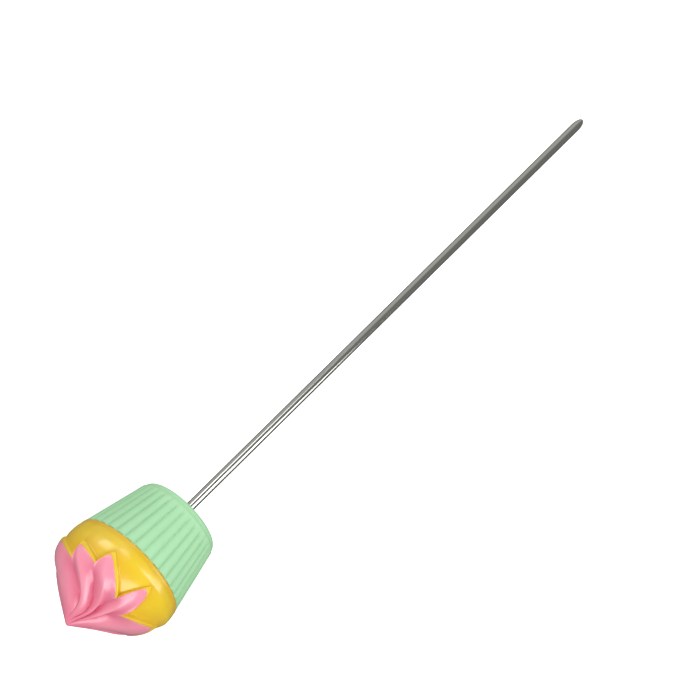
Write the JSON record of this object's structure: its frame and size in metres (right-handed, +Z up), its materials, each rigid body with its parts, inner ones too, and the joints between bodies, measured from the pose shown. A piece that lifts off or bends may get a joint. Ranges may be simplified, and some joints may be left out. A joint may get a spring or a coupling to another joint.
{
  "type": "roasting skewer",
  "caption": "Steel roasting skewer with a rounded point and a hollow knob shaped as a frosted cupcake with a pleated cup and a petalled swirl.",
  "frame": {"origin": "centre of the bounding box's bottom face, on the table that the skewer lies on", "axes": "+X towards the point of the rod, in the vertical plane that holds the rod's axis; +Z up from the table; the rod slopes down towards the point at 4.89 degrees"},
  "size_m": [0.1944, 0.0322, 0.0324],
  "materials": {
    "polished_steel": "polished drawn wire",
    "spring_steel": "plain spring steel",
    "mint_plastic": "satin moulded",
    "clear_adhesive": "cured adhesive",
    "yellow_enamel": "glossy",
    "pink_enamel": "glossy"
  },
  "bodies": {
    "root": {"skewer_rod": "polished_steel", "push_nut": "spring_steel", "liner_cup": "mint_plastic", "rim_bond_ring": "clear_adhesive", "frosting_dome": "yellow_enamel", "icing_swirl": "pink_enamel"}
  },
  "joints": []
}
